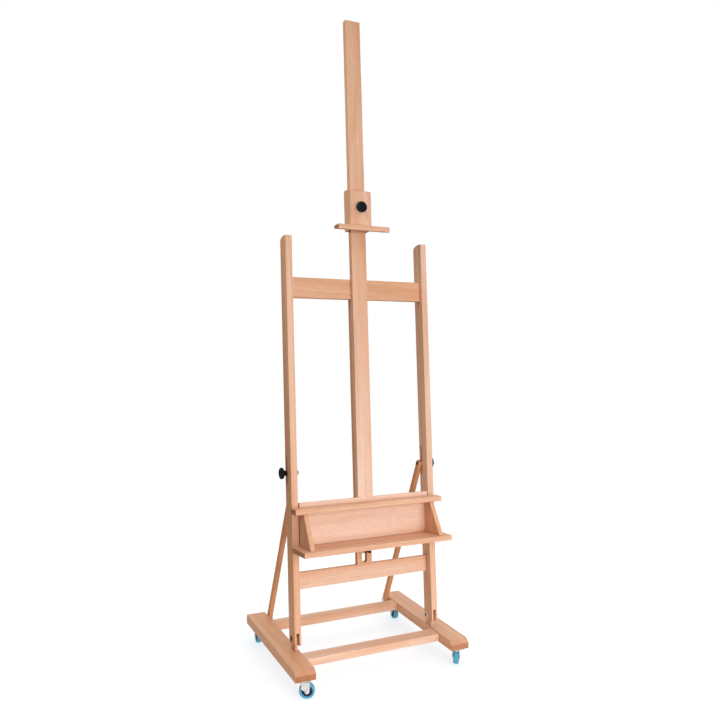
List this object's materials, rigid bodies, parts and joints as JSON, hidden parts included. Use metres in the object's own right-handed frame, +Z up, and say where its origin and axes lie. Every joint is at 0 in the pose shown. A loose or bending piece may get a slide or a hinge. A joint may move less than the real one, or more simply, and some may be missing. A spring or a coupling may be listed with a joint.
{
  "type": "studio easel",
  "caption": "Wooden H-frame studio easel on castors, with a sliding mast, canvas ledge over an open tray, and an upper canvas holder.",
  "frame": {"origin": "on the floor under the middle of the base", "axes": "+Z up, the painter stands at -Y, +X to the painter's right"},
  "size_m": [0.634, 0.505, 2.2376],
  "materials": {
    "beech": "oiled",
    "beech_strut": "oiled",
    "black_plastic": "satin",
    "zinc": "bright zinc",
    "black_steel": "satin black",
    "dark_hub": "moulded",
    "blue_tyre": "smooth"
  },
  "bodies": {
    "base": {"runner_left": "beech", "runner_right": "beech", "stretcher_front": "beech", "stretcher_rear": "beech", "pivot_tongue_left": "beech", "pivot_tongue_right": "beech", "castor_front_left_plate": "zinc", "castor_front_right_plate": "zinc", "castor_rear_left_plate": "zinc", "castor_rear_right_plate": "zinc", "strut_screw_left": "zinc", "strut_screw_right": "zinc"},
    "frame": {"upright_left": "beech", "upright_right": "beech", "crossbar_upper": "beech", "crossbar_lower": "beech", "centre_post": "beech", "pivot_bolt_left": "zinc", "pivot_bolt_right": "zinc", "pivot_nut_left": "zinc", "pivot_nut_right": "zinc"},
    "strut_left": {"strut_left": "beech_strut", "tilt_bolt_left": "black_steel"},
    "tilt_knob_left": {"tilt_knob_left": "black_plastic"},
    "strut_right": {"strut_right": "beech_strut", "tilt_bolt_right": "black_steel"},
    "tilt_knob_right": {"tilt_knob_right": "black_plastic"},
    "carriage": {"mast": "beech", "tray_back_panel": "beech", "canvas_ledge": "beech", "tray_floor": "beech", "tray_end_left": "beech", "tray_end_right": "beech", "lock_bolt": "zinc", "lock_washer": "zinc", "lock_nut": "zinc"},
    "lock_knob": {"lock_knob": "black_plastic"},
    "holder": {"holder_front": "beech", "holder_cheek_left": "beech", "holder_cheek_right": "beech", "holder_back_plate": "beech", "clamp_bar": "beech"},
    "holder_knob": {"holder_knob": "black_plastic"},
    "castor_front_left_swivel": {"castor_front_left_fork": "zinc", "castor_front_left_axle": "zinc"},
    "castor_front_left_wheel": {"castor_front_left_hub": "dark_hub", "castor_front_left_tyre": "blue_tyre"},
    "castor_front_right_swivel": {"castor_front_right_fork": "zinc", "castor_front_right_axle": "zinc"},
    "castor_front_right_wheel": {"castor_front_right_hub": "dark_hub", "castor_front_right_tyre": "blue_tyre"},
    "castor_rear_left_swivel": {"castor_rear_left_fork": "zinc", "castor_rear_left_axle": "zinc"},
    "castor_rear_left_wheel": {"castor_rear_left_hub": "dark_hub", "castor_rear_left_tyre": "blue_tyre"},
    "castor_rear_right_swivel": {"castor_rear_right_fork": "zinc", "castor_rear_right_axle": "zinc"},
    "castor_rear_right_wheel": {"castor_rear_right_hub": "dark_hub", "castor_rear_right_tyre": "blue_tyre"}
  },
  "joints": [
    {"name": "tilt", "type": "hinge", "parent": "base", "child": "frame", "pos_m": [0, -0.08964, 0.1314], "axis": [-1, 0, 0], "range_deg": [-5.8, 9]},
    {"name": "strut_left_fold", "type": "hinge", "parent": "base", "child": "strut_left", "pos_m": [0, 0.2223, 0.078], "axis": [-1, 0, 0], "range_deg": [-6, 9]},
    {"name": "strut_right_fold", "type": "hinge", "parent": "base", "child": "strut_right", "pos_m": [0, 0.2223, 0.078], "axis": [-1, 0, 0], "range_deg": [-6, 9]},
    {"name": "tilt_knob_left_turn", "type": "hinge", "parent": "strut_left", "child": "tilt_knob_left", "pos_m": [0, -0.02365, 0.66746], "axis": [-1, 0, 0], "range_deg": [0, 540]},
    {"name": "tilt_knob_right_turn", "type": "hinge", "parent": "strut_right", "child": "tilt_knob_right", "pos_m": [0, -0.02365, 0.66746], "axis": [1, 0, 0], "range_deg": [0, 540]},
    {"name": "tray_slide", "type": "slide", "parent": "frame", "child": "carriage", "axis": [0, 0.1019, 0.9948], "range_m": [-0.024, 0.58]},
    {"name": "lock_knob_turn", "type": "hinge", "parent": "carriage", "child": "lock_knob", "pos_m": [0, -0.09813, 0.40167], "axis": [0, -0.9948, 0.1019], "range_deg": [0, 540]},
    {"name": "holder_slide", "type": "slide", "parent": "carriage", "child": "holder", "axis": [0, 0.1019, 0.9948], "range_m": [-0.13, 0.6]},
    {"name": "holder_knob_turn", "type": "hinge", "parent": "holder", "child": "holder_knob", "pos_m": [0, -0.00832, 1.57262], "axis": [0, -0.9948, 0.1019], "range_deg": [0, 540]},
    {"name": "castor_front_left_turn", "type": "hinge", "parent": "base", "child": "castor_front_left_swivel", "pos_m": [-0.282, -0.229, 0.055], "axis": [0, 0, 1], "continuous": true},
    {"name": "castor_front_left_roll", "type": "hinge", "parent": "castor_front_left_swivel", "child": "castor_front_left_wheel", "pos_m": [-0.27087, -0.2335, 0.025], "axis": [0.3746, 0.9272, 0], "continuous": true},
    {"name": "castor_front_right_turn", "type": "hinge", "parent": "base", "child": "castor_front_right_swivel", "pos_m": [0.282, -0.229, 0.055], "axis": [0, 0, 1], "continuous": true},
    {"name": "castor_front_right_roll", "type": "hinge", "parent": "castor_front_right_swivel", "child": "castor_front_right_wheel", "pos_m": [0.28939, -0.21954, 0.025], "axis": [-0.788, 0.6157, 0], "continuous": true},
    {"name": "castor_rear_left_turn", "type": "hinge", "parent": "base", "child": "castor_rear_left_swivel", "pos_m": [-0.282, 0.229, 0.055], "axis": [0, 0, 1], "continuous": true},
    {"name": "castor_rear_left_roll", "type": "hinge", "parent": "castor_rear_left_swivel", "child": "castor_rear_left_wheel", "pos_m": [-0.28367, 0.21712, 0.025], "axis": [0.9903, -0.1392, 0], "continuous": true},
    {"name": "castor_rear_right_turn", "type": "hinge", "parent": "base", "child": "castor_rear_right_swivel", "pos_m": [0.282, 0.229, 0.055], "axis": [0, 0, 1], "continuous": true},
    {"name": "castor_rear_right_roll", "type": "hinge", "parent": "castor_rear_right_swivel", "child": "castor_rear_right_wheel", "pos_m": [0.28054, 0.21709, 0.025], "axis": [0.9925, -0.1219, 0], "continuous": true}
  ],
  "couplings": [
    {"joint": "strut_left_fold", "follows": "tilt", "ratio": 0.98},
    {"joint": "strut_right_fold", "follows": "tilt", "ratio": 0.98}
  ]
}
